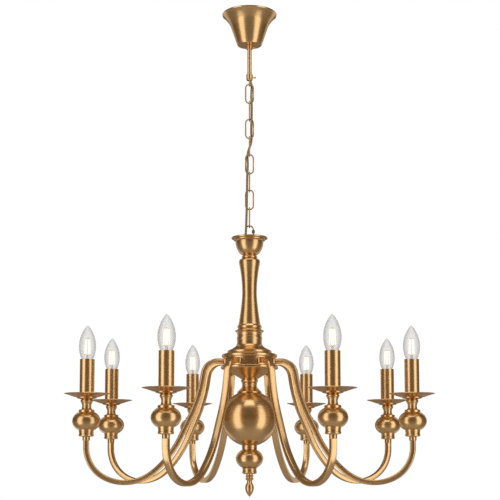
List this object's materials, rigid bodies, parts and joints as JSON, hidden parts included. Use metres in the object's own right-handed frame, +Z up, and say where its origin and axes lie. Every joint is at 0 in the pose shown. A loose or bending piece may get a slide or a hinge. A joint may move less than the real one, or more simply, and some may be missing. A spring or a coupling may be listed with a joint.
{
  "type": "multi arm chandelier",
  "caption": "Turned brass chandelier on a chain: ceiling canopy, cup and column, round hub, swan-neck arms with candle sleeves, drip pans and filament bulbs, large ball and finial.",
  "frame": {"origin": "centre of the ceiling bracket's top face, on the ceiling", "axes": "+Z up along the rod and the column, +X towards the thumb screws, -Y to the front"},
  "size_m": [0.7562, 0.728, 1.053],
  "materials": {
    "satin_brass": "satin, brushed round the turned pieces",
    "bright_brass": "bright",
    "steel": "zinc plated",
    "porcelain": "off-white, matt",
    "cord": "olive gold clear-coated flex",
    "bulb_glass": "clear"
  },
  "bodies": {
    "ceiling_mount": {"ceiling_bracket": "steel", "rod_nuts": "steel", "terminal_block": "porcelain", "hanger_rod": "satin_brass", "loop_collar": "satin_brass", "hanger_loop": "satin_brass", "flex_cord": "cord"},
    "loop_screw": {"loop_screw": "bright_brass"},
    "canopy": {"canopy": "satin_brass", "lock_collar": "satin_brass"},
    "lock_screw": {"lock_screw": "bright_brass"},
    "link_1": {"chain_link_1": "satin_brass"},
    "link_2": {"chain_link_2": "satin_brass"},
    "link_3": {"chain_link_3": "satin_brass"},
    "link_4": {"chain_link_4": "satin_brass"},
    "link_5": {"chain_link_5": "satin_brass"},
    "link_6": {"chain_link_6": "satin_brass"},
    "link_7": {"chain_link_7": "satin_brass"},
    "link_8": {"chain_link_8": "satin_brass"},
    "link_9": {"chain_link_9": "satin_brass", "link_nut": "bright_brass"},
    "chandelier": {"cord_grip": "satin_brass", "column_loop": "satin_brass", "tie_pipe": "steel", "top_cup": "satin_brass", "column_rings": "satin_brass", "column": "satin_brass", "column_base": "satin_brass", "hub_body": "satin_brass", "hub_cone": "satin_brass", "neck_cap": "satin_brass", "sphere": "satin_brass", "ball_collars": "satin_brass", "lower_ball": "satin_brass", "finial": "satin_brass", "tie_nuts": "steel", "wire_connector": "porcelain", "arm_1": "satin_brass", "arm_2": "satin_brass", "arm_3": "satin_brass", "arm_4": "satin_brass", "arm_5": "satin_brass", "arm_6": "satin_brass", "arm_7": "satin_brass", "arm_8": "satin_brass", "arm_nuts": "steel", "arm_ferrules": "satin_brass", "ball_vases": "satin_brass", "pan_stems": "satin_brass", "drip_pans": "satin_brass", "candle_sleeves": "satin_brass", "lampholders": "porcelain"},
    "bulb_1": {"bulb_1": "bulb_glass"},
    "bulb_2": {"bulb_2": "bulb_glass"},
    "bulb_3": {"bulb_3": "bulb_glass"},
    "bulb_4": {"bulb_4": "bulb_glass"},
    "bulb_5": {"bulb_5": "bulb_glass"},
    "bulb_6": {"bulb_6": "bulb_glass"},
    "bulb_7": {"bulb_7": "bulb_glass"},
    "bulb_8": {"bulb_8": "bulb_glass"}
  },
  "joints": [
    {"name": "canopy_slide", "type": "slide", "parent": "ceiling_mount", "child": "canopy", "axis": [0, 0, -1], "range_m": [0, 0.045]},
    {"name": "lock_screw_turn", "type": "hinge", "parent": "canopy", "child": "lock_screw", "pos_m": [0, 0, -0.07665], "axis": [1, 0, 0], "range_deg": [0, 360]},
    {"name": "loop_screw_turn", "type": "hinge", "parent": "ceiling_mount", "child": "loop_screw", "pos_m": [0, 0, -0.144], "axis": [1, 0, 0], "range_deg": [0, 360]},
    {"name": "link_1_swing", "type": "hinge", "parent": "ceiling_mount", "child": "link_1", "pos_m": [0, 0, -0.1626], "axis": [0, 1, 0], "range_deg": [-10, 10], "deforming": ["flex_cord"]},
    {"name": "link_2_swing", "type": "hinge", "parent": "link_1", "child": "link_2", "pos_m": [0, 0, -0.2018], "axis": [1, 0, 0], "range_deg": [-10, 10], "deforming": ["flex_cord"]},
    {"name": "link_3_swing", "type": "hinge", "parent": "link_2", "child": "link_3", "pos_m": [0, 0, -0.2411], "axis": [0, 1, 0], "range_deg": [-10, 10], "deforming": ["flex_cord"]},
    {"name": "link_4_swing", "type": "hinge", "parent": "link_3", "child": "link_4", "pos_m": [0, 0, -0.2804], "axis": [1, 0, 0], "range_deg": [-10, 10], "deforming": ["flex_cord"]},
    {"name": "link_5_swing", "type": "hinge", "parent": "link_4", "child": "link_5", "pos_m": [0, 0, -0.3197], "axis": [0, 1, 0], "range_deg": [-10, 10], "deforming": ["flex_cord"]},
    {"name": "link_6_swing", "type": "hinge", "parent": "link_5", "child": "link_6", "pos_m": [0, 0, -0.359], "axis": [1, 0, 0], "range_deg": [-10, 10], "deforming": ["flex_cord"]},
    {"name": "link_7_swing", "type": "hinge", "parent": "link_6", "child": "link_7", "pos_m": [0, 0, -0.3983], "axis": [0, 1, 0], "range_deg": [-10, 10], "deforming": ["flex_cord"]},
    {"name": "link_8_swing", "type": "hinge", "parent": "link_7", "child": "link_8", "pos_m": [0, 0, -0.4376], "axis": [1, 0, 0], "range_deg": [-10, 10], "deforming": ["flex_cord"]},
    {"name": "link_9_swing", "type": "hinge", "parent": "link_8", "child": "link_9", "pos_m": [0, 0, -0.4769], "axis": [0, 1, 0], "range_deg": [-10, 10], "deforming": ["flex_cord"]},
    {"name": "chandelier_swing", "type": "hinge", "parent": "link_9", "child": "chandelier", "pos_m": [0, 0, -0.5162], "axis": [1, 0, 0], "range_deg": [-10, 10], "deforming": ["flex_cord"]},
    {"name": "bulb_1_turn", "type": "hinge", "parent": "chandelier", "child": "bulb_1", "pos_m": [0.31076, 0.16039, -0.77166], "axis": [0, 0, 1], "range_deg": [0, 360]},
    {"name": "bulb_2_turn", "type": "hinge", "parent": "chandelier", "child": "bulb_2", "pos_m": [0.13552, 0.32238, -0.77166], "axis": [0, 0, 1], "range_deg": [0, 360]},
    {"name": "bulb_3_turn", "type": "hinge", "parent": "chandelier", "child": "bulb_3", "pos_m": [-0.13552, 0.32238, -0.77166], "axis": [0, 0, 1], "range_deg": [0, 360]},
    {"name": "bulb_4_turn", "type": "hinge", "parent": "chandelier", "child": "bulb_4", "pos_m": [-0.31076, 0.16039, -0.77166], "axis": [0, 0, 1], "range_deg": [0, 360]},
    {"name": "bulb_5_turn", "type": "hinge", "parent": "chandelier", "child": "bulb_5", "pos_m": [-0.33163, -0.11096, -0.77166], "axis": [0, 0, 1], "range_deg": [0, 360]},
    {"name": "bulb_6_turn", "type": "hinge", "parent": "chandelier", "child": "bulb_6", "pos_m": [-0.15658, -0.31269, -0.77166], "axis": [0, 0, 1], "range_deg": [0, 360]},
    {"name": "bulb_7_turn", "type": "hinge", "parent": "chandelier", "child": "bulb_7", "pos_m": [0.15658, -0.31269, -0.77166], "axis": [0, 0, 1], "range_deg": [0, 360]},
    {"name": "bulb_8_turn", "type": "hinge", "parent": "chandelier", "child": "bulb_8", "pos_m": [0.33163, -0.11096, -0.77166], "axis": [0, 0, 1], "range_deg": [0, 360]}
  ]
}
